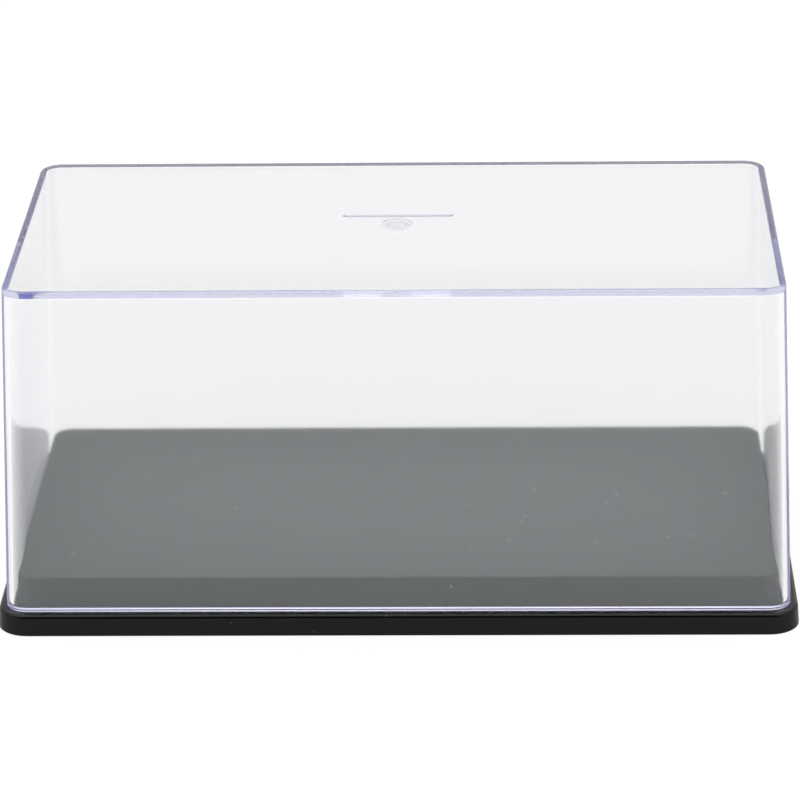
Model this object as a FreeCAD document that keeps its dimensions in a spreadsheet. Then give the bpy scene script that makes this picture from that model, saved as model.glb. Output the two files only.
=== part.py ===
import FreeCAD, Part
import math
import os
import Sketcher

# A shelf display case for a small scale model, in three mouldings and four screws. A clear cover
# drops over a grey deck, on which the model stands, and its rim rests on the ledge of a black
# plinth. The deck is a hollow shell, held on the plinth by screws from below.
# Millimetres and degrees. +X runs along the case, +Y to its back and +Z up. The origin is under
# the middle of the plinth, on the surface that the case stands on.

SIZES = {
    # Clear cover: outside sizes at its open rim, the lean of its walls and its thicknesses
    "cover_length": 140.0,
    "cover_width": 72.6,
    "cover_height": 60.2,
    "cover_draft": 1.9,
    "cover_wall": 1.2,
    "cover_roof": 1.5,
    "cover_corner": 4.0,
    "roof_edge": 0.6,
    "ceiling_edge": 0.15,
    # Slope inside the cover's rim that leads it over the deck, and the flat land that it stands on
    "lead_rise": 0.45,
    "rim_land": 0.4,
    # Moulding marks in the roof: the gate's dimple, and the fine ridge left by a core insert
    "gate_diameter": 5.5,
    "gate_depth": 0.3,
    "gate_edge": 0.25,
    "ridge_length": 20.0,
    "ridge_width": 1.2,
    "ridge_tip": 0.04,
    "ridge_drop": 0.27,
    "ridge_setback": 5.2,
    # Black plinth: the ledge is what shows outside the cover, and the wall below it flares to the foot
    "plinth_ledge": 1.33,
    "plinth_height": 4.0,
    "plinth_draft": 4.0,
    "plinth_floor": 1.6,
    "plinth_skirt": 1.6,
    "plinth_edge": 0.8,
    "foot_edge": 0.2,
    # Stiffening ribs, shared by the undersides of plinth and deck
    "rib_thickness": 1.0,
    "rib_lift": 0.6,
    # Low wall on the plinth that finds the inside of the deck
    "locator_height": 1.2,
    "locator_wall": 1.0,
    "locator_gap": 0.2,
    # Grey deck: sizes of its shell, and how much more it leans, rounds and clears than the cover inside
    "deck_gap": 0.55,
    "deck_rise": 6.1,
    "deck_extra_draft": 0.6,
    "deck_shell": 2.2,
    "deck_wall": 1.6,
    "deck_corner_relief": 0.7,
    "deck_edge": 0.3,
    "cavity_corner": 1.0,
    "boss_wall": 1.35,
    # Self-tapping screws: how far they stand inside the deck's walls, the room at their tips and below
    # their heads, and the screw itself
    "screw_inset": 8.8,
    "tip_room": 0.5,
    "head_room": 0.9,
    "screw_shank": 2.2,
    "screw_point": 1.2,
    "screw_head": 4.2,
    "head_height": 1.5,
    "head_dome": 0.8,
    "slot_span": 2.6,
    "slot_width": 0.6,
    "slot_depth": 0.8,
    "thread_gap": 0.05,
    "hole_gap": 0.2,
    "well_gap": 0.5,
    "well_wall": 1.2,
}

# Ribs divide the underside into a grid of equal cells
CELLS_ALONG = 6
CELLS_ACROSS = 3

# Sizes and heights that several pieces share, as expressions on the sheet
COVER_LEAN = "sizes.cover_height * tan(sizes.cover_draft)"
CEILING_RISE = "(sizes.cover_height - sizes.cover_roof)"
CEILING_LEAN = f"{CEILING_RISE} * tan(sizes.cover_draft)"
CEILING_LEVEL = f"(sizes.plinth_height + {CEILING_RISE})"
ROOF_LEVEL = "(sizes.plinth_height + sizes.cover_height)"
PLINTH_LENGTH = "(sizes.cover_length + 2 * sizes.plinth_ledge)"
PLINTH_WIDTH = "(sizes.cover_width + 2 * sizes.plinth_ledge)"
PLINTH_CORNER = "(sizes.cover_corner + sizes.plinth_ledge)"
PLINTH_FLARE = "sizes.plinth_height * tan(sizes.plinth_draft)"
HOLLOW_LENGTH = f"({PLINTH_LENGTH} - 2 * sizes.plinth_skirt)"
HOLLOW_WIDTH = f"({PLINTH_WIDTH} - 2 * sizes.plinth_skirt)"
FLOOR_UNDERSIDE = "(sizes.plinth_height - sizes.plinth_floor)"
DECK_LENGTH = "(sizes.cover_length - 2 * sizes.cover_wall - 2 * sizes.deck_gap)"
DECK_WIDTH = "(sizes.cover_width - 2 * sizes.cover_wall - 2 * sizes.deck_gap)"
DECK_LEAN = "sizes.deck_rise * tan(sizes.cover_draft + sizes.deck_extra_draft)"
DECK_LEVEL = "(sizes.plinth_height + sizes.deck_rise)"
DECK_CORNER = "(sizes.cover_corner - sizes.cover_wall + sizes.deck_corner_relief)"
CAVITY_LENGTH = f"({DECK_LENGTH} - 2 * sizes.deck_wall)"
CAVITY_WIDTH = f"({DECK_WIDTH} - 2 * sizes.deck_wall)"
CAVITY_LEVEL = f"({DECK_LEVEL} - sizes.deck_shell)"
LOCATOR_LENGTH = f"({CAVITY_LENGTH} - 2 * sizes.locator_gap)"
LOCATOR_WIDTH = f"({CAVITY_WIDTH} - 2 * sizes.locator_gap)"
SCREW_X = f"({CAVITY_LENGTH} / 2 - sizes.screw_inset)"
SCREW_Y = f"({CAVITY_WIDTH} / 2 - sizes.screw_inset)"
SEAT_LEVEL = "(sizes.head_height + sizes.head_room)"
SCREW_LENGTH = f"({CAVITY_LEVEL} - sizes.tip_room - {SEAT_LEVEL})"
WELL_RADIUS = "(sizes.screw_head / 2 + sizes.well_gap)"
PILOT_RADIUS = "(sizes.screw_shank / 2 + sizes.thread_gap)"

SCREW_PLACES = {
    "front_left": (-1, -1),
    "front_right": (1, -1),
    "rear_left": (-1, 1),
    "rear_right": (1, 1),
}

UP = FreeCAD.Vector(0, 0, 1)
SAME_PLACE = 0.001


def make_sheet(doc):
    """The driving dimensions, one aliased cell each."""
    sheet = doc.addObject("Spreadsheet::Sheet", "sizes")
    for row, (alias, value) in enumerate(SIZES.items(), start=1):
        cell = f"A{row}"
        sheet.set(cell, str(value))
        sheet.setAlias(cell, alias)
    doc.recompute()
    return sheet


def make_body(doc, label):
    body = doc.addObject("PartDesign::Body", label)
    body.Label = label
    return body


def add_sketch(body, name, plane, level="0"):
    """A sketch on one of the body's own origin planes, lifted along the plane's normal by level."""
    sketch = body.newObject("Sketcher::SketchObject", name)
    origin_planes = {feature.Role: feature for feature in body.Origin.OriginFeatures}
    sketch.AttachmentSupport = [(origin_planes[plane], "")]
    sketch.MapMode = "FlatFace"
    sketch.setExpression("AttachmentOffset.Base.z", level)
    return sketch


def bind(sketch, name, expression, kind, *where):
    """Adds one dimension to a sketch and ties it to an expression on the sheet."""
    value = float(sketch.evalExpression(expression))
    index = sketch.addConstraint(Sketcher.Constraint(kind, *where, value))
    sketch.renameConstraint(index, name)
    sketch.setExpression(f"Constraints.{name}", expression)


def rounded_rectangle(sketch, name, length, width, radius):
    """A rectangle with round corners, centred on the sketch's origin: four sides, then four arcs."""
    x = float(sketch.evalExpression(length)) / 2
    y = float(sketch.evalExpression(width)) / 2
    r = float(sketch.evalExpression(radius))
    corners = [(x, -y), (x, y), (-x, y), (-x, -y)]
    first = sketch.GeometryCount
    arcs = []
    for quarter, (corner_x, corner_y) in enumerate(corners, start=-1):
        inward_x = r if corner_x < 0 else -r
        inward_y = r if corner_y < 0 else -r
        centre = FreeCAD.Vector(corner_x + inward_x, corner_y + inward_y, 0)
        start_angle = quarter * math.pi / 2
        arcs.append(Part.ArcOfCircle(Part.Circle(centre, UP, r), start_angle, start_angle + math.pi / 2))
    for index, arc in enumerate(arcs):
        sketch.addGeometry(Part.LineSegment(arcs[index - 1].EndPoint, arc.StartPoint), False)
    for arc in arcs:
        sketch.addGeometry(arc, False)
    sides = [first + index for index in range(4)]
    rounds = [first + 4 + index for index in range(4)]
    for index in range(4):
        next_side = sides[(index + 1) % 4]
        sketch.addConstraint(Sketcher.Constraint("Tangent", sides[index], 2, rounds[index], 1))
        sketch.addConstraint(Sketcher.Constraint("Tangent", rounds[index], 2, next_side, 1))
        direction = "Horizontal" if index % 2 == 0 else "Vertical"
        sketch.addConstraint(Sketcher.Constraint(direction, sides[index]))
    for index in range(3):
        sketch.addConstraint(Sketcher.Constraint("Equal", rounds[index], rounds[index + 1]))
    sketch.addConstraint(Sketcher.Constraint("Symmetric", rounds[0], 3, rounds[2], 3, -1, 1))
    bind(sketch, f"{name}_length", length, "DistanceX", sides[3], 1, sides[1], 1)
    bind(sketch, f"{name}_width", width, "DistanceY", sides[0], 1, sides[2], 1)
    bind(sketch, f"{name}_radius", radius, "Radius", rounds[0])


def rectangle(sketch, name, length, width, centre_y="0"):
    """A plain rectangle, centred across the sketch and lifted along its Y by centre_y."""
    x = float(sketch.evalExpression(length)) / 2
    y = float(sketch.evalExpression(width)) / 2
    middle = float(sketch.evalExpression(centre_y))
    corners = [(-x, middle - y), (x, middle - y), (x, middle + y), (-x, middle + y)]
    points = [FreeCAD.Vector(*corner, 0) for corner in corners]
    first = sketch.GeometryCount
    for index, point in enumerate(points):
        sketch.addGeometry(Part.LineSegment(point, points[(index + 1) % 4]), False)
    sides = [first + index for index in range(4)]
    for index in range(4):
        following = sides[(index + 1) % 4]
        sketch.addConstraint(Sketcher.Constraint("Coincident", sides[index], 2, following, 1))
    sketch.addConstraint(Sketcher.Constraint("Symmetric", sides[0], 1, sides[0], 2, -2))
    sketch.addConstraint(Sketcher.Constraint("Vertical", sides[1]))
    sketch.addConstraint(Sketcher.Constraint("Horizontal", sides[2]))
    sketch.addConstraint(Sketcher.Constraint("Vertical", sides[3]))
    bind(sketch, f"{name}_length", length, "DistanceX", sides[0], 1, sides[0], 2)
    bind(sketch, f"{name}_width", width, "DistanceY", sides[1], 1, sides[1], 2)
    bind(sketch, f"{name}_foot", f"{centre_y} - {width} / 2", "DistanceY", -1, 1, sides[0], 1)


def four_circles(sketch, name, radius):
    """A circle at each of the four screws, mirrored over both axes of the sketch."""
    x = float(sketch.evalExpression(SCREW_X))
    y = float(sketch.evalExpression(SCREW_Y))
    r = float(sketch.evalExpression(radius))
    circles = []
    for side_x, side_y in ((1, 1), (-1, 1), (-1, -1), (1, -1)):
        centre = FreeCAD.Vector(side_x * x, side_y * y, 0)
        circles.append(sketch.addGeometry(Part.Circle(centre, UP, r), False))
    across_y_axis, across_x_axis = -2, -1
    mirrors = (across_y_axis, across_x_axis, across_y_axis)
    for index, axis in enumerate(mirrors):
        pair = circles[index], circles[index + 1]
        sketch.addConstraint(Sketcher.Constraint("Equal", *pair))
        sketch.addConstraint(Sketcher.Constraint("Symmetric", pair[0], 3, pair[1], 3, axis))
    bind(sketch, f"{name}_radius", radius, "Radius", circles[0])
    bind(sketch, f"{name}_x", SCREW_X, "DistanceX", -1, 1, circles[0], 3)
    bind(sketch, f"{name}_y", SCREW_Y, "DistanceY", -1, 1, circles[0], 3)


def turned_profile(sketch, points):
    """A closed outline for turning about the sketch's Y axis. Each point is a pair of expressions."""
    values = [[float(sketch.evalExpression(part)) for part in point] for point in points]
    corners = [FreeCAD.Vector(x, y, 0) for x, y in values]
    count = len(points)
    for index, corner in enumerate(corners):
        sketch.addGeometry(Part.LineSegment(corner, corners[(index + 1) % count]), False)
    for index, (along, height) in enumerate(points):
        before = (index - 1) % count
        sketch.addConstraint(Sketcher.Constraint("Coincident", before, 2, index, 1))
        if along == "0":
            sketch.addConstraint(Sketcher.Constraint("PointOnObject", index, 1, -2))
        else:
            bind(sketch, f"radius_{index}", along, "DistanceX", -1, 1, index, 1)
        if height == "0":
            sketch.addConstraint(Sketcher.Constraint("PointOnObject", index, 1, -1))
        else:
            bind(sketch, f"height_{index}", height, "DistanceY", -1, 1, index, 1)


def add_loft(body, kind, name, lower, upper):
    loft = body.newObject(f"PartDesign::{kind}", name)
    loft.Profile = lower
    loft.Sections = [upper]
    loft.Ruled = True
    return loft


def add_length(body, kind, name, sketch, length, downward=False):
    """A Pad or Pocket of the sketch, upward unless told otherwise."""
    feature = body.newObject(f"PartDesign::{kind}", name)
    feature.Profile = sketch
    feature.setExpression("Length", length)
    feature.Reversed = downward if kind == "Pad" else not downward
    return feature


def add_turned(body, kind, name, sketch):
    """A Revolution or Groove of the sketch, all the way round its Y axis."""
    feature = body.newObject(f"PartDesign::{kind}", name)
    feature.Profile = sketch
    feature.ReferenceAxis = (sketch, ["V_Axis"])
    feature.Angle = 360
    return feature


def round_edges(doc, body, name, radius, chosen):
    """Rounds the edges of the body's last feature that the chosen test picks out."""
    doc.recompute()
    base = body.Tip
    names = [f"Edge{index}" for index, edge in enumerate(base.Shape.Edges, start=1) if chosen(edge)]
    if not names:
        raise RuntimeError(f"{body.Label}: no edge to round for {name}")
    fillet = body.newObject("PartDesign::Fillet", name)
    fillet.Base = (base, names)
    fillet.setExpression("Radius", radius)
    return fillet


def edges_at(level, past_x=0.0, past_y=0.0):
    """A test for edges that lie flat at a level and reach past a half length or a half width."""

    def chosen(edge):
        box = edge.BoundBox
        flat = abs(box.ZMin - level) < SAME_PLACE and abs(box.ZMax - level) < SAME_PLACE
        reach_x = max(-box.XMin, box.XMax)
        reach_y = max(-box.YMin, box.YMax)
        return flat and (reach_x > past_x + SAME_PLACE or reach_y > past_y + SAME_PLACE)

    return chosen


def add_ribs(doc, body, name, length, width, level, depth):
    """Ribs of a grid of equal cells, hung below a level inside a length and a width."""
    along = add_sketch(body, f"{name}_long_sketch", "XY_Plane", level)
    rectangle(along, "rib", length, "sizes.rib_thickness", f"{width} / {2 * CELLS_ACROSS}")
    long_rib = add_length(body, "Pad", f"{name}_long", along, depth, downward=True)
    doc.recompute()
    mirror = body.newObject("PartDesign::Mirrored", f"{name}_long_pair")
    mirror.Originals = [long_rib]
    mirror.MirrorPlane = (along, ["H_Axis"])
    body.Tip = mirror

    across = add_sketch(body, f"{name}_cross_sketch", "XY_Plane", level)
    across.setExpression("AttachmentOffset.Base.x", f"{length} / {CELLS_ALONG} - {length} / 2")
    rectangle(across, "rib", "sizes.rib_thickness", width)
    cross_rib = add_length(body, "Pad", f"{name}_cross", across, depth, downward=True)
    doc.recompute()
    pattern = body.newObject("PartDesign::LinearPattern", f"{name}_cross_row")
    pattern.Originals = [cross_rib]
    pattern.Direction = (across, ["H_Axis"])
    pattern.setExpression("Length", f"{length} * {CELLS_ALONG - 2} / {CELLS_ALONG}")
    pattern.Occurrences = CELLS_ALONG - 1
    body.Tip = pattern
    doc.recompute()


def make_clear_cover(doc, sheet):
    """Five-sided clear box, open below, with walls that lean in as a moulding's do."""
    body = make_body(doc, "clear_cover")
    rim = add_sketch(body, "cover_rim", "XY_Plane", "sizes.plinth_height")
    rounded_rectangle(rim, "rim", "sizes.cover_length", "sizes.cover_width", "sizes.cover_corner")
    top = add_sketch(body, "cover_top", "XY_Plane", ROOF_LEVEL)
    top_length = f"sizes.cover_length - 2 * {COVER_LEAN}"
    top_width = f"sizes.cover_width - 2 * {COVER_LEAN}"
    rounded_rectangle(top, "top", top_length, top_width, "sizes.cover_corner")
    add_loft(body, "AdditiveLoft", "cover_outside", rim, top)

    inner_corner = "(sizes.cover_corner - sizes.cover_wall)"
    mouth = add_sketch(body, "cover_mouth", "XY_Plane", "sizes.plinth_height")
    mouth_length = "sizes.cover_length - 2 * sizes.cover_wall"
    mouth_width = "sizes.cover_width - 2 * sizes.cover_wall"
    rounded_rectangle(mouth, "mouth", mouth_length, mouth_width, inner_corner)
    ceiling = add_sketch(body, "cover_ceiling", "XY_Plane", CEILING_LEVEL)
    ceiling_length = f"{mouth_length} - 2 * {CEILING_LEAN}"
    ceiling_width = f"{mouth_width} - 2 * {CEILING_LEAN}"
    rounded_rectangle(ceiling, "ceiling", ceiling_length, ceiling_width, inner_corner)
    add_loft(body, "SubtractiveLoft", "cover_inside", mouth, ceiling)

    # The lead-in slope is cut on past the inner wall, to twice its rise
    land = add_sketch(body, "lead_foot", "XY_Plane", "sizes.plinth_height")
    lead_head = add_sketch(body, "lead_head", "XY_Plane", "sizes.plinth_height + 2 * sizes.lead_rise")
    head_inset = "(2 * sizes.cover_wall - sizes.rim_land)"
    for sketch, inset in ((land, "sizes.rim_land"), (lead_head, head_inset)):
        lead_length = f"sizes.cover_length - 2 * {inset}"
        lead_width = f"sizes.cover_width - 2 * {inset}"
        rounded_rectangle(sketch, "lead", lead_length, lead_width, f"sizes.cover_corner - {inset}")
    add_loft(body, "SubtractiveLoft", "lead_in", land, lead_head)
    roof_level = float(sheet.evalExpression(ROOF_LEVEL))
    round_edges(doc, body, "roof_edge_round", "sizes.roof_edge", edges_at(roof_level))
    ceiling_level = float(sheet.evalExpression(CEILING_LEVEL))
    round_edges(doc, body, "ceiling_edge_round", "sizes.ceiling_edge", edges_at(ceiling_level))

    # The gate's dimple is sunk in the roof so that the trimmed sprue stays below the surface
    gate = add_sketch(body, "gate_profile", "XZ_Plane")
    gate_floor = f"{ROOF_LEVEL} - sizes.gate_depth"
    gate_radius = "sizes.gate_diameter / 2"
    gate_floor_radius = "(sizes.gate_diameter / 2 - sizes.gate_depth)"
    turned_profile(gate, [("0", gate_floor), (gate_floor_radius, gate_floor), (gate_radius, ROOF_LEVEL),
                          ("0", ROOF_LEVEL)])
    add_turned(body, "Groove", "gate_dimple", gate)
    doc.recompute()
    gate_floor_level = float(sheet.evalExpression(gate_floor))
    round_edges(doc, body, "gate_edge_round", "sizes.gate_edge", edges_at(gate_floor_level))

    # The ridge is the mark of a mould insert, a low roof shape that hangs a little below the ceiling
    ridge = add_sketch(body, "insert_ridge_foot", "XY_Plane", CEILING_LEVEL)
    rectangle(ridge, "ridge", "sizes.ridge_length", "sizes.ridge_width", "sizes.ridge_setback")
    tip = add_sketch(body, "insert_ridge_tip", "XY_Plane", f"{CEILING_LEVEL} - sizes.ridge_drop")
    tip_length = "(sizes.ridge_length - sizes.ridge_width + sizes.ridge_tip)"
    rectangle(tip, "tip", tip_length, "sizes.ridge_tip", "sizes.ridge_setback")
    add_loft(body, "AdditiveLoft", "insert_ridge", ridge, tip)
    return body


def make_plinth(doc, sheet):
    """Shallow black tray turned over: a floor with a skirt, ribbed below, with a ledge for the cover."""
    body = make_body(doc, "plinth")
    foot = add_sketch(body, "plinth_foot", "XY_Plane")
    foot_length = f"{PLINTH_LENGTH} + 2 * {PLINTH_FLARE}"
    foot_width = f"{PLINTH_WIDTH} + 2 * {PLINTH_FLARE}"
    rounded_rectangle(foot, "foot", foot_length, foot_width, f"{PLINTH_CORNER} + {PLINTH_FLARE}")
    ledge = add_sketch(body, "plinth_ledge", "XY_Plane", "sizes.plinth_height")
    rounded_rectangle(ledge, "ledge", PLINTH_LENGTH, PLINTH_WIDTH, PLINTH_CORNER)
    add_loft(body, "AdditiveLoft", "plinth_block", foot, ledge)

    hollow = add_sketch(body, "plinth_hollow_sketch", "XY_Plane")
    hollow_corner = f"({PLINTH_CORNER} - sizes.plinth_skirt)"
    rounded_rectangle(hollow, "hollow", HOLLOW_LENGTH, HOLLOW_WIDTH, hollow_corner)
    add_length(body, "Pocket", "plinth_hollow", hollow, FLOOR_UNDERSIDE)
    ledge_level = float(sheet.evalExpression("sizes.plinth_height"))
    round_edges(doc, body, "ledge_round", "sizes.plinth_edge", edges_at(ledge_level))
    hollow_half = [float(sheet.evalExpression(size)) / 2 for size in (HOLLOW_LENGTH, HOLLOW_WIDTH)]
    round_edges(doc, body, "foot_round", "sizes.foot_edge", edges_at(0.0, *hollow_half))

    rib_depth = f"({FLOOR_UNDERSIDE} - sizes.rib_lift)"
    add_ribs(doc, body, "plinth_ribs", HOLLOW_LENGTH, HOLLOW_WIDTH, FLOOR_UNDERSIDE, rib_depth)

    # Each screw head sits in a round well, and its shank passes a clear hole in the floor
    wells = add_sketch(body, "well_walls_sketch", "XY_Plane", FLOOR_UNDERSIDE)
    four_circles(wells, "wall", f"({WELL_RADIUS} + sizes.well_wall)")
    add_length(body, "Pad", "well_walls", wells, rib_depth, downward=True)
    bores = add_sketch(body, "well_bores_sketch", "XY_Plane")
    four_circles(bores, "bore", WELL_RADIUS)
    add_length(body, "Pocket", "well_bores", bores, SEAT_LEVEL)
    holes = add_sketch(body, "screw_holes_sketch", "XY_Plane", SEAT_LEVEL)
    four_circles(holes, "hole", "(sizes.screw_shank / 2 + sizes.hole_gap)")
    add_length(body, "Pocket", "screw_holes", holes, f"sizes.plinth_height - {SEAT_LEVEL}")

    locator = add_sketch(body, "deck_locator_sketch", "XY_Plane", "sizes.plinth_height")
    rounded_rectangle(locator, "outside", LOCATOR_LENGTH, LOCATOR_WIDTH, "sizes.cavity_corner")
    inside_length = f"{LOCATOR_LENGTH} - 2 * sizes.locator_wall"
    inside_width = f"{LOCATOR_WIDTH} - 2 * sizes.locator_wall"
    rounded_rectangle(locator, "inside", inside_length, inside_width, "sizes.cavity_corner")
    add_length(body, "Pad", "deck_locator", locator, "sizes.locator_height")
    return body


def make_deck(doc, sheet):
    """Grey platform for the model: a shell with softly rounded edges, bosses and ribs inside."""
    body = make_body(doc, "deck")
    foot = add_sketch(body, "deck_foot", "XY_Plane", "sizes.plinth_height")
    rounded_rectangle(foot, "foot", DECK_LENGTH, DECK_WIDTH, DECK_CORNER)
    top = add_sketch(body, "deck_top", "XY_Plane", DECK_LEVEL)
    top_length = f"{DECK_LENGTH} - 2 * {DECK_LEAN}"
    top_width = f"{DECK_WIDTH} - 2 * {DECK_LEAN}"
    rounded_rectangle(top, "top", top_length, top_width, DECK_CORNER)
    add_loft(body, "AdditiveLoft", "deck_block", foot, top)
    cavity = add_sketch(body, "deck_cavity_sketch", "XY_Plane", "sizes.plinth_height")
    rounded_rectangle(cavity, "cavity", CAVITY_LENGTH, CAVITY_WIDTH, "sizes.cavity_corner")
    cavity_depth = "(sizes.deck_rise - sizes.deck_shell)"
    add_length(body, "Pocket", "deck_cavity", cavity, cavity_depth)
    deck_level = float(sheet.evalExpression(DECK_LEVEL))
    round_edges(doc, body, "deck_edge_round", "sizes.deck_edge", edges_at(deck_level))

    # The ribs stop above the plinth's locator wall, and the bosses stand on the plinth's floor
    rib_depth = f"({cavity_depth} - sizes.locator_height - sizes.locator_gap)"
    add_ribs(doc, body, "deck_ribs", CAVITY_LENGTH, CAVITY_WIDTH, CAVITY_LEVEL, rib_depth)
    bosses = add_sketch(body, "bosses_sketch", "XY_Plane", CAVITY_LEVEL)
    four_circles(bosses, "boss", f"({PILOT_RADIUS} + sizes.boss_wall)")
    add_length(body, "Pad", "bosses", bosses, cavity_depth, downward=True)
    pilots = add_sketch(body, "pilot_holes_sketch", "XY_Plane", "sizes.plinth_height")
    four_circles(pilots, "pilot", PILOT_RADIUS)
    add_length(body, "Pocket", "pilot_holes", pilots, cavity_depth)
    return body


def make_deck_screw(doc, sheet, place, side_x, side_y):
    """Small pan-head self-tapping screw with a cross slot, its head seated at the top of a well."""
    body = make_body(doc, f"deck_screw_{place}")
    profile = add_sketch(body, f"screw_profile_{place}", "XZ_Plane")
    head_foot = "0 - sizes.head_height"
    head_radius = "sizes.screw_head / 2"
    shank_radius = "sizes.screw_shank / 2"
    taper_start = f"({SCREW_LENGTH} - sizes.screw_point)"
    turned_profile(profile, [("0", head_foot), (head_radius, head_foot), (head_radius, "0"),
                             (shank_radius, "0"), (shank_radius, taper_start), ("0", SCREW_LENGTH)])
    add_turned(body, "Revolution", f"screw_turned_{place}", profile)
    head_level = float(sheet.evalExpression(head_foot))
    round_edges(doc, body, f"screw_dome_{place}", "sizes.head_dome", edges_at(head_level))

    slot = add_sketch(body, f"screw_slot_sketch_{place}", "XY_Plane", head_foot)
    rectangle(slot, "slot", "sizes.slot_span", "sizes.slot_width")
    cut = add_length(body, "Pocket", f"screw_slot_{place}", slot, "sizes.slot_depth")
    doc.recompute()
    cross = body.newObject("PartDesign::PolarPattern", f"screw_cross_{place}")
    cross.Originals = [cut]
    cross.Axis = (slot, ["N_Axis"])
    cross.Angle = 90
    cross.Occurrences = 2
    body.Tip = cross

    body.setExpression("Placement.Base.x", f"{side_x} * {SCREW_X}")
    body.setExpression("Placement.Base.y", f"{side_y} * {SCREW_Y}")
    body.setExpression("Placement.Base.z", SEAT_LEVEL)
    return body


def check_and_export(doc, bodies):
    """Stops on any failed object or bad solid, then writes one STEP file for each piece."""
    doc.recompute()
    for item in doc.Objects:
        if "Invalid" in item.State or "Error" in item.State:
            raise RuntimeError(f"{item.Label} failed: {item.State}")
    for body in bodies:
        shape = body.Shape
        if shape.isNull() or not shape.isValid() or len(shape.Solids) != 1:
            raise RuntimeError(f"{body.Label} is not one valid solid")
    os.makedirs("parts", exist_ok=True)
    for body in bodies:
        body.Shape.exportStep(f"parts/{body.Label}.step")
        print(f"{body.Label}: {body.Shape.Volume:.1f} mm3, {body.Shape.BoundBox}")


def main():
    doc = FreeCAD.newDocument("display_case")
    sheet = make_sheet(doc)
    bodies = [make_clear_cover(doc, sheet), make_deck(doc, sheet), make_plinth(doc, sheet)]
    for place, (side_x, side_y) in SCREW_PLACES.items():
        bodies.append(make_deck_screw(doc, sheet, place, side_x, side_y))
    check_and_export(doc, bodies)


main()
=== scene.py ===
import math

import bmesh
import bpy
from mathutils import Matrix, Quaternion, Vector, noise


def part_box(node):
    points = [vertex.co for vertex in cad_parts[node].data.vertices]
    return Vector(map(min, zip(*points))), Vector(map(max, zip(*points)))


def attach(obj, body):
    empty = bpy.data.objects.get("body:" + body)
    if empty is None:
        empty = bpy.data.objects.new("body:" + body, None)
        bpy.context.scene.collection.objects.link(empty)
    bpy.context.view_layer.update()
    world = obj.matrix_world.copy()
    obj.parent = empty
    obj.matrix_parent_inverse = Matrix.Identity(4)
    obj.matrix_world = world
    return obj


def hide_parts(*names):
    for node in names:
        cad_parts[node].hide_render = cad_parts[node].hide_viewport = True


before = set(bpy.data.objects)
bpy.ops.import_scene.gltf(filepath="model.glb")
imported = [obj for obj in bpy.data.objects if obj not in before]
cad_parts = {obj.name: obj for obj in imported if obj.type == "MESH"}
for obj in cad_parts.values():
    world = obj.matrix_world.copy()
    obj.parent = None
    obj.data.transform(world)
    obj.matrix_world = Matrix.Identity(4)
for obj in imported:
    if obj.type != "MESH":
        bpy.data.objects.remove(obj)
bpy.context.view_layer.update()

# Plinth: a shallow tray of gloss black polystyrene, moulded in one shot and stood upside down, with
# ribs and screw wells below. Its outer edge is the ledge that the clear cover stands on, and a low
# wall on its floor finds the inside of the grey deck.
MM = 0.001
plinth_black = (0.0012, 0.0012, 0.0014, 1.0)
plinth_worn_black = (0.0025, 0.0025, 0.0026, 1.0)
plinth_dust = (0.15, 0.15, 0.14, 1.0)
rubbing_scale = (0.05, 0.6, 1.0)


class Signal:
    """A socket in a node tree. Arithmetic on signals adds Math nodes, and node() adds any other."""

    def __init__(self, tree, socket=None):
        self.tree = tree
        self.socket = socket

    def node(self, kind, settings=None, inputs=None, output=0):
        made = self.tree.nodes.new(kind)
        for name, value in (settings or {}).items():
            setattr(made, name, value)
        for name, value in (inputs or {}).items():
            if isinstance(value, Signal):
                self.tree.links.new(value.socket, made.inputs[name])
            else:
                made.inputs[name].default_value = value
        return Signal(self.tree, made.outputs[output])

    def maths(self, operation, *values):
        return self.node("ShaderNodeMath", {"operation": operation}, dict(enumerate(values)))

    def axes(self):
        """The X, Y and Z parts of a vector."""
        split = self.node("ShaderNodeSeparateXYZ", {}, {0: self})
        return [Signal(self.tree, part) for part in split.socket.node.outputs]

    def __abs__(self):
        return self.maths("ABSOLUTE", self)

    def __add__(self, other):
        return self.maths("ADD", self, other)

    def __radd__(self, other):
        return self.maths("ADD", other, self)

    def __sub__(self, other):
        return self.maths("SUBTRACT", self, other)

    def __rsub__(self, other):
        return self.maths("SUBTRACT", other, self)

    def __mul__(self, other):
        return self.maths("MULTIPLY", self, other)

    def __rmul__(self, other):
        return self.maths("MULTIPLY", other, self)

    def __gt__(self, other):
        return self.maths("GREATER_THAN", self, other)

    def __lt__(self, other):
        return self.maths("LESS_THAN", self, other)


def blended(share, first, second):
    """A colour that goes from the first to the second as the share goes from 0 to 1."""
    return share.node("ShaderNodeMix", {"data_type": "RGBA"}, {0: share, 6: first, 7: second}, 2)


def clouds_in(place, size_mm, detail=2.0, roughness=0.5):
    """Cloudy noise from 0 to 1, with clouds about size_mm across."""
    inputs = {"Vector": place, "Scale": 1 / (size_mm * MM), "Detail": detail, "Roughness": roughness}
    return place.node("ShaderNodeTexNoise", {}, inputs)


def dust_in(place, spacing_mm, radius_mm, patch_mm, bare):
    """One on small round grains in patches, and 0 elsewhere. A larger bare leaves fewer patches."""
    cells = place.node("ShaderNodeTexVoronoi", {}, {"Vector": place, "Scale": 1 / (spacing_mm * MM)})
    return (cells < radius_mm / spacing_mm) * (clouds_in(place, patch_mm) > bare)


def raised(height, height_mm, strength):
    """The normal of a surface that the height signal raises by up to height_mm."""
    inputs = {"Height": height, "Distance": height_mm * MM, "Strength": strength}
    return height.node("ShaderNodeBump", {}, inputs)


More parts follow.
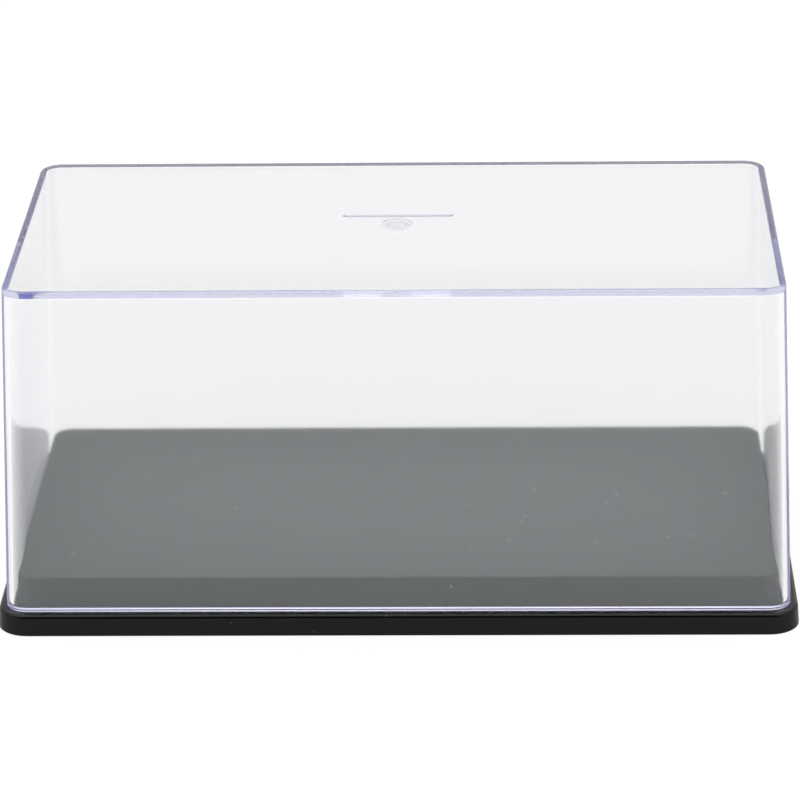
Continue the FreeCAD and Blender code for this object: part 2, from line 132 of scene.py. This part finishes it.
def new_finish(name, constants, varying):
    """A material with one Principled shader: constant sockets, then sockets worked out from place."""
    material = bpy.data.materials.new(name)
    material.use_nodes = True
    tree = material.node_tree
    shader = tree.nodes["Principled BSDF"]
    for socket, value in constants.items():
        shader.inputs[socket].default_value = value
    place = Signal(tree).node("ShaderNodeTexCoord", output="Object")
    for socket, signal in varying(place).items():
        tree.links.new(signal.socket, shader.inputs[socket])
    return material


def give_finish(piece, finish):
    """Gives a piece one finish all over."""
    piece.data.materials.clear()
    piece.data.materials.append(finish)


def gloss_black(place):
    """Black polish with soft cloudy wear, fine rubbing marks along the case and a few pale specks."""
    clouds = clouds_in(place, size_mm=18.0, detail=3.0)
    stretched = place.node("ShaderNodeMapping", {}, {"Vector": place, "Scale": rubbing_scale})
    rubbing = clouds_in(stretched, size_mm=0.25)
    dust = dust_in(place, spacing_mm=2.5, radius_mm=0.11, patch_mm=11.0, bare=0.56)
    black = blended(clouds, plinth_black, plinth_worn_black)
    return {
        "Base Color": blended(dust, black, plinth_dust),
        "Roughness": 0.03 + clouds * 0.05 + rubbing * 0.03 + dust * 0.4,
        "Normal": raised(rubbing * 0.6 + clouds * 0.4, height_mm=0.003, strength=0.3),
    }


black_finish = new_finish("gloss_black_plastic", {"Specular IOR Level": 0.42}, gloss_black)
give_finish(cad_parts["plinth"], black_finish)

# Deck screws: four small pan-head self-tapping screws, steel with a bright zinc plate. They are
# driven up from wells below the plinth into the deck's bosses and hold the two mouldings together.
zinc_handled = (0.52, 0.53, 0.55, 1.0)
zinc_bright = (0.70, 0.70, 0.69, 1.0)


def zinc_plate(place):
    """Bright plate, clouded by handling, with fine turning marks."""
    clouds = clouds_in(place, size_mm=0.8, detail=3.0)
    return {
        "Base Color": blended(clouds, zinc_handled, zinc_bright),
        "Roughness": 0.24 + clouds * 0.2,
        "Normal": raised(clouds_in(place, size_mm=0.12), height_mm=0.004, strength=0.4),
    }


zinc_finish = new_finish("zinc_plated_steel", {"Metallic": 1.0}, zinc_plate)
for node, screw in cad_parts.items():
    if node.startswith("deck_screw"):
        give_finish(screw, zinc_finish)

# Deck: a raised platform of grey polystyrene, a shell with softened edges and a fine matte surface.
# It stands on the plinth's floor inside the cover, and the screws hold it from below.
CORNER_STEPS = 14
MERGE_DISTANCE = 0.001
SHARP_ANGLE = math.radians(20.0)
deck_low, deck_high = (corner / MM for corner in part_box("deck"))
deck_wall = 1.6
deck_corner = 3.5
deck_edge = 0.3
deck_shell = 2.2
deck_lean = math.tan(math.radians(2.5))
deck_side_steps = 40
deck_top_margin = 1.5
edge_sag = 0.12
sag_length = 9.0
deck_dark_grey = (0.208, 0.231, 0.230, 1.0)
deck_pale_grey = (0.250, 0.277, 0.275, 1.0)
deck_dust = (0.5, 0.52, 0.51, 1.0)


def rounded_loop(half_x, half_y, radius, height, centre_y=0.0, side_steps=1):
    """Points round a rectangle with round corners, counter-clockwise from above, in millimetres."""
    arcs = []
    for turn, (side_x, side_y) in enumerate(((1, -1), (1, 1), (-1, 1), (-1, -1))):
        middle = Vector((side_x * (half_x - radius), side_y * (half_y - radius) + centre_y, height))
        angles = [math.pi / 2 * (turn - 1 + step / CORNER_STEPS) for step in range(CORNER_STEPS + 1)]
        spokes = [Vector((math.cos(angle), math.sin(angle), 0.0)) for angle in angles]
        arcs.append([middle + radius * spoke for spoke in spokes])
    points = []
    for arc, following in zip(arcs, arcs[1:] + arcs[:1]):
        points += arc
        points += [arc[-1].lerp(following[0], step / side_steps) for step in range(1, side_steps)]
    return points


def quarter_round(radius, steps=6):
    """Inset and rise along a rounded edge, from its upright end to its level end."""
    angles = [math.pi / 2 * step / steps for step in range(steps + 1)]
    return [(radius * (1 - math.cos(angle)), radius * math.sin(angle)) for angle in angles]


def skin(mesh, loops):
    """Faces from each loop of points to the next, and one face over each end."""
    rows = [[mesh.verts.new(point * MM) for point in loop] for loop in loops]
    for row, following in zip(rows, rows[1:]):
        for index in range(len(row)):
            after = (index + 1) % len(row)
            mesh.faces.new((row[index], row[after], following[after], following[index]))
    mesh.faces.new(rows[0])
    mesh.faces.new(rows[-1])


def finished_piece(name, mesh):
    """A new piece of the scene, its faces turned outward and shaded smooth up to its real corners."""
    bmesh.ops.remove_doubles(mesh, verts=mesh.verts, dist=MERGE_DISTANCE * MM)
    bmesh.ops.recalc_face_normals(mesh, faces=mesh.faces)
    data = bpy.data.meshes.new(name)
    mesh.to_mesh(data)
    mesh.free()
    data.shade_smooth()
    data.set_sharp_from_angle(angle=SHARP_ANGLE)
    piece = bpy.data.objects.new(name, data)
    bpy.context.scene.collection.objects.link(piece)
    return piece


def deck_wall_loop(level, inset):
    """One loop of the deck's leaning side."""
    lean = deck_lean * (level - deck_low.z) + inset
    return rounded_loop(deck_high.x - lean, deck_high.y - lean, deck_corner - inset, level,
                        side_steps=deck_side_steps)


def deck_loops():
    """The deck's skin from its top, over its softened edge and down, then up inside its hollow."""
    loops = [deck_wall_loop(deck_high.z, deck_edge + deck_top_margin)]
    for inset, rise in reversed(quarter_round(deck_edge)):
        loop = deck_wall_loop(deck_high.z - deck_edge + rise, inset)
        for point in loop:
            point.z -= edge_sag * max(0.0, noise.noise(Vector((point.x, point.y, 0.0)) / sag_length))
        loops.append(loop)
    for level in (deck_high.z - 2 * deck_edge, deck_low.z):
        loops.append(deck_wall_loop(level, 0.0))
    for level in (deck_low.z, deck_high.z - deck_shell):
        loops.append(rounded_loop(deck_high.x - deck_wall, deck_high.y - deck_wall,
                                  deck_corner - deck_wall, level, side_steps=deck_side_steps))
    return loops


def matte_grey(place):
    """Matte grey with a fine grain, slow cloudy changes of tone and a scatter of dust."""
    clouds = clouds_in(place, size_mm=40.0, detail=3.0)
    grain = clouds_in(place, size_mm=0.22, detail=3.0, roughness=0.7)
    dust = dust_in(place, spacing_mm=3.0, radius_mm=0.26, patch_mm=13.0, bare=0.57)
    grey = blended(clouds * 0.7 + grain * 0.3, deck_dark_grey, deck_pale_grey)
    return {
        "Base Color": blended(dust, grey, deck_dust),
        "Roughness": 0.58 + clouds * 0.1 + grain * 0.08,
        "Normal": raised(grain, height_mm=0.02, strength=0.35),
    }


deck_mesh = bmesh.new()
skin(deck_mesh, deck_loops())
deck_moulding = finished_piece("deck_moulding", deck_mesh)
give_finish(deck_moulding, new_finish("matte_grey_plastic", {"IOR": 1.5}, matte_grey))
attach(deck_moulding, "base")
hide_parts("deck")

# Clear cover: a five-sided box of crystal polystyrene with leaning walls, moulded in one shot from
# a gate in the middle of its roof. A violet toner in the plastic shows where light runs along its
# edges. It stands loose on the plinth's ledge and lifts straight off.
cover_low, cover_high = (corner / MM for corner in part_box("clear_cover"))
cover_wall = 1.2
cover_roof = 1.5
cover_corner = 4.0
cover_lean = math.tan(math.radians(1.9))
cover_ceiling = cover_high.z - cover_roof
roof_edge = 0.6
roof_edge_steps = 8
ceiling_edge = 0.15
rest_gap = 0.04
flat_margin = 0.12
ridge_half_length = 10.0
ridge_half_width = 0.75
ridge_half_tip = 0.02
ridge_drop = 0.34
ridge_setback = 5.2
ridge_crest = 0.3
ridge_root = 0.01
slope_height = 1.0
slope_facing = 0.5
gate_radius = 2.75
# Radius and depth below the roof, from the gate's lip to its middle.
gate_profile = ((2.87, 0.0), (2.75, 0.0), (2.64, 0.08), (2.5, 0.1), (1.85, 0.1), (1.75, 0.085),
                (1.55, 0.02), (1.4, 0.005), (0.5, 0.0))
# Inset from the outside and rise above the foot, from the inner wall round the rim to the outer wall.
rim_profile = ((1.2, 0.66), (1.2, 0.52), (0.88, 0.44), (0.69, 0.32), (0.69, 0.13), (0.34, 0.0),
               (0.1, 0.0), (0.03, 0.03), (0.0, 0.1), (0.0, 0.3))
clear_tint = (0.968, 0.968, 0.972, 1.0)
hazy_tint = (0.956, 0.956, 0.962, 1.0)
# Painted shade: the ridge's crest is tinted blue-grey in place of the dark line that its faces refract.
ridge_painted_shade = (0.4, 0.48, 0.72, 1.0)
toner_colour = (0.1, 0.12, 0.97, 1.0)
toner_density = 3.2


def cover_wall_loop(level, inset):
    """One loop of a leaning wall, inset from the cover's outside."""
    lean = cover_lean * (level - cover_low.z) + inset
    return rounded_loop(cover_high.x - lean, cover_high.y - lean, cover_corner - inset, level)


def cover_loops():
    """The cover's skin: from the ridge on its ceiling, down inside, round its rim, up outside and
    over its roof to the gate."""
    foot = cover_low.z + rest_gap
    loops = []
    ridge_levels = ((ridge_half_tip, cover_ceiling - ridge_drop), (ridge_half_width, cover_ceiling))
    for half_width, level in ridge_levels:
        half_length = ridge_half_length - ridge_half_width + half_width
        loops.append(rounded_loop(half_length, half_width, half_width / 2, level, ridge_setback))
    loops.append(cover_wall_loop(cover_ceiling, cover_wall + ceiling_edge + flat_margin))
    for inset, rise in reversed(quarter_round(ceiling_edge)):
        loops.append(cover_wall_loop(cover_ceiling - ceiling_edge + rise, cover_wall + inset))
    loops.append(cover_wall_loop(cover_ceiling - ceiling_edge - flat_margin, cover_wall))
    for inset, rise in rim_profile:
        loops.append(cover_wall_loop(foot + rise, inset))
    loops.append(cover_wall_loop(cover_high.z - roof_edge - flat_margin, 0.0))
    for inset, rise in quarter_round(roof_edge, roof_edge_steps):
        loops.append(cover_wall_loop(cover_high.z - roof_edge + rise, inset))
    loops.append(cover_wall_loop(cover_high.z, roof_edge + flat_margin))
    for radius, depth in gate_profile:
        loops.append(rounded_loop(radius, radius, radius, cover_high.z - depth))
    return loops


def clear_plastic(place):
    """Polished clear plastic with slow waves from cooling, duller at its rim, gate and ridge. The
    ridge's crest carries painted shade, a blue-grey tint standing in for the dark line its faces
    refract.
    """
    waves = clouds_in(place, size_mm=24.0, detail=1.0)
    haze = clouds_in(place, size_mm=9.0, detail=4.0)
    along, across, height = place.axes()
    rise = place.node("ShaderNodeTexCoord", output="Normal").axes()[2]
    sloping = (height < (cover_low.z + slope_height) * MM) * (abs(rise) > slope_facing)
    gate_middle = (0.0, 0.0, cover_high.z * MM)
    from_gate = place.node("ShaderNodeVectorMath", {"operation": "DISTANCE"},
                           {0: place, 1: gate_middle}, "Value")
    at_gate = from_gate < gate_radius * MM
    near_crest = abs(across - ridge_setback * MM) < ridge_crest * MM
    below_ceiling = height < (cover_ceiling - ridge_root) * MM
    at_crest = near_crest * (abs(along) < ridge_half_length * MM) * below_ceiling
    clear = blended(haze, clear_tint, hazy_tint)
    return {
        # Painted shade: the ridge's crest takes a blue-grey tint standing in for its refracted dark
        # line.
        "Base Color": blended(at_crest, clear, ridge_painted_shade),
        "Roughness": 0.045 + haze * 0.02 + sloping * 0.08 + at_gate * 0.15 + at_crest * 0.1,
        "Normal": raised(waves, height_mm=0.03, strength=0.25),
    }


cover_mesh = bmesh.new()
skin(cover_mesh, cover_loops())
cover_moulding = finished_piece("cover_moulding", cover_mesh)
cover_finish = new_finish("clear_polystyrene", {"IOR": 1.59, "Transmission Weight": 1.0}, clear_plastic)
cover_tree = cover_finish.node_tree
toner = Signal(cover_tree).node("ShaderNodeVolumeAbsorption", {},
                                {"Color": toner_colour, "Density": toner_density})
cover_tree.links.new(toner.socket, cover_tree.nodes["Material Output"].inputs["Volume"])
give_finish(cover_moulding, cover_finish)
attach(cover_moulding, "cover")
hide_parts("clear_cover")

# Floor: the pale table that the case stands on, wide enough to fill every view. It keeps the soft
# shadow of the case, and what looks straight at it or through the clear cover sees it white.
floor_half = 3000.0
floor_glow = 0.84
floor_mirrored = 0.33
floor_dark = (0.21, 0.21, 0.21, 1.0)
floor_pale = (0.23, 0.23, 0.23, 1.0)


def seen(tree, mirrored):
    """One for rays that see the studio straight or through the cover, mirrored for reflections, and
    0 for rays that a matte surface has scattered."""
    camera_ray, through_ray, mirror_ray, matte_turns = (
        Signal(tree).node("ShaderNodeLightPath", output=name)
        for name in ("Is Camera Ray", "Is Transmission Ray", "Is Glossy Ray", "Diffuse Depth"))
    straight = camera_ray.maths("MAXIMUM", camera_ray, through_ray)
    return straight.maths("MAXIMUM", straight, mirror_ray * mirrored) * (matte_turns < 1)


floor_mesh = bmesh.new()
floor_mesh.faces.new([floor_mesh.verts.new(Vector((x, y, 0.0)) * floor_half * MM)
                      for x, y in ((-1, -1), (1, -1), (1, 1), (-1, 1))])
floor = finished_piece("floor", floor_mesh)
floor_finish = bpy.data.materials.new("pale_floor")
floor_finish.use_nodes = True
floor_tree = floor_finish.node_tree
floor_tree.nodes.clear()
floor_start = Signal(floor_tree)
floor_place = floor_start.node("ShaderNodeTexCoord", output="Object")
floor_colour = blended(clouds_in(floor_place, size_mm=300.0), floor_dark, floor_pale)
floor_matte = floor_start.node("ShaderNodeBsdfDiffuse", {}, {"Color": floor_colour})
floor_strength = seen(floor_tree, floor_mirrored) * floor_glow
floor_white = floor_start.node("ShaderNodeEmission", {}, {"Strength": floor_strength})
floor_shader = floor_start.node("ShaderNodeAddShader", {}, {0: floor_matte, 1: floor_white})
floor_output = floor_tree.nodes.new("ShaderNodeOutputMaterial")
floor_tree.links.new(floor_shader.socket, floor_output.inputs["Surface"])
give_finish(floor, floor_finish)

# Studio: a soft overhead light, and a white room that is dimmer as a light than as a background.
# Polished surfaces mirror the room brightly overhead, beside and behind the case, and dimly in front.
room_light = 0.72
front_mirrored = 0.03
back_mirrored = 0.63
back_weight = 0.75
side_weight = 1.0
front_end = 0.3
back_start = 0.55
softbox_width = 1800.0
softbox_power = 6.8
softbox_place = Vector((0.0, 120.0, 800.0))
world = bpy.data.worlds.new("studio")
bpy.context.scene.world = world
world.use_nodes = True
background = world.node_tree.nodes["Background"]
background.inputs["Color"].default_value = (1.0, 1.0, 1.0, 1.0)
direction = Signal(world.node_tree).node("ShaderNodeTexCoord", output="Generated")
across, behind, climb = direction.axes()
from_front = climb + behind * back_weight + abs(across) * side_weight
room_mirrored = from_front.node("ShaderNodeMapRange", {}, {
    "Value": from_front,
    "From Min": front_end,
    "From Max": back_start,
    "To Min": front_mirrored,
    "To Max": back_mirrored,
})
room_strength = seen(world.node_tree, room_mirrored) + (1 - seen(world.node_tree, 1.0)) * room_light
world.node_tree.links.new(room_strength.socket, background.inputs["Strength"])

softbox_data = bpy.data.lights.new("overhead_softbox", "AREA")
softbox_data.shape = "RECTANGLE"
softbox_data.size = softbox_width * MM
softbox_data.size_y = softbox_width * MM
softbox_data.energy = softbox_power
softbox = bpy.data.objects.new("overhead_softbox", softbox_data)
softbox.location = softbox_place * MM
bpy.context.scene.collection.objects.link(softbox)

# Camera: a long lens a little above the case and almost square to its front. Light is followed
# through many turns, because it runs to and fro inside the cover's walls before it leaves them.
light_turns = 256
camera_azimuth = math.radians(1.784)
camera_elevation = math.radians(22.39)
camera_roll = math.radians(-0.907)
camera_distance = 712.84
camera_target = Vector((-0.017, 0.0, 29.708))
camera_data = bpy.data.cameras.new("camera")
camera_data.sensor_width = 36.0
camera_data.lens = 174.51
camera_data.clip_start = 50.0 * MM
camera = bpy.data.objects.new("camera", camera_data)
away = Vector((math.sin(camera_azimuth) * math.cos(camera_elevation),
               -math.cos(camera_azimuth) * math.cos(camera_elevation),
               math.sin(camera_elevation)))
camera.location = (camera_target + away * camera_distance) * MM
camera.rotation_mode = "QUATERNION"
camera.rotation_quaternion = (-away).to_track_quat("-Z", "Y") @ Quaternion((0, 0, 1), camera_roll)
bpy.context.scene.collection.objects.link(camera)
bpy.context.scene.camera = camera
bpy.context.scene.view_settings.view_transform = "Standard"
bpy.context.scene.cycles.max_bounces = light_turns
bpy.context.scene.cycles.glossy_bounces = light_turns
bpy.context.scene.cycles.transmission_bounces = light_turns
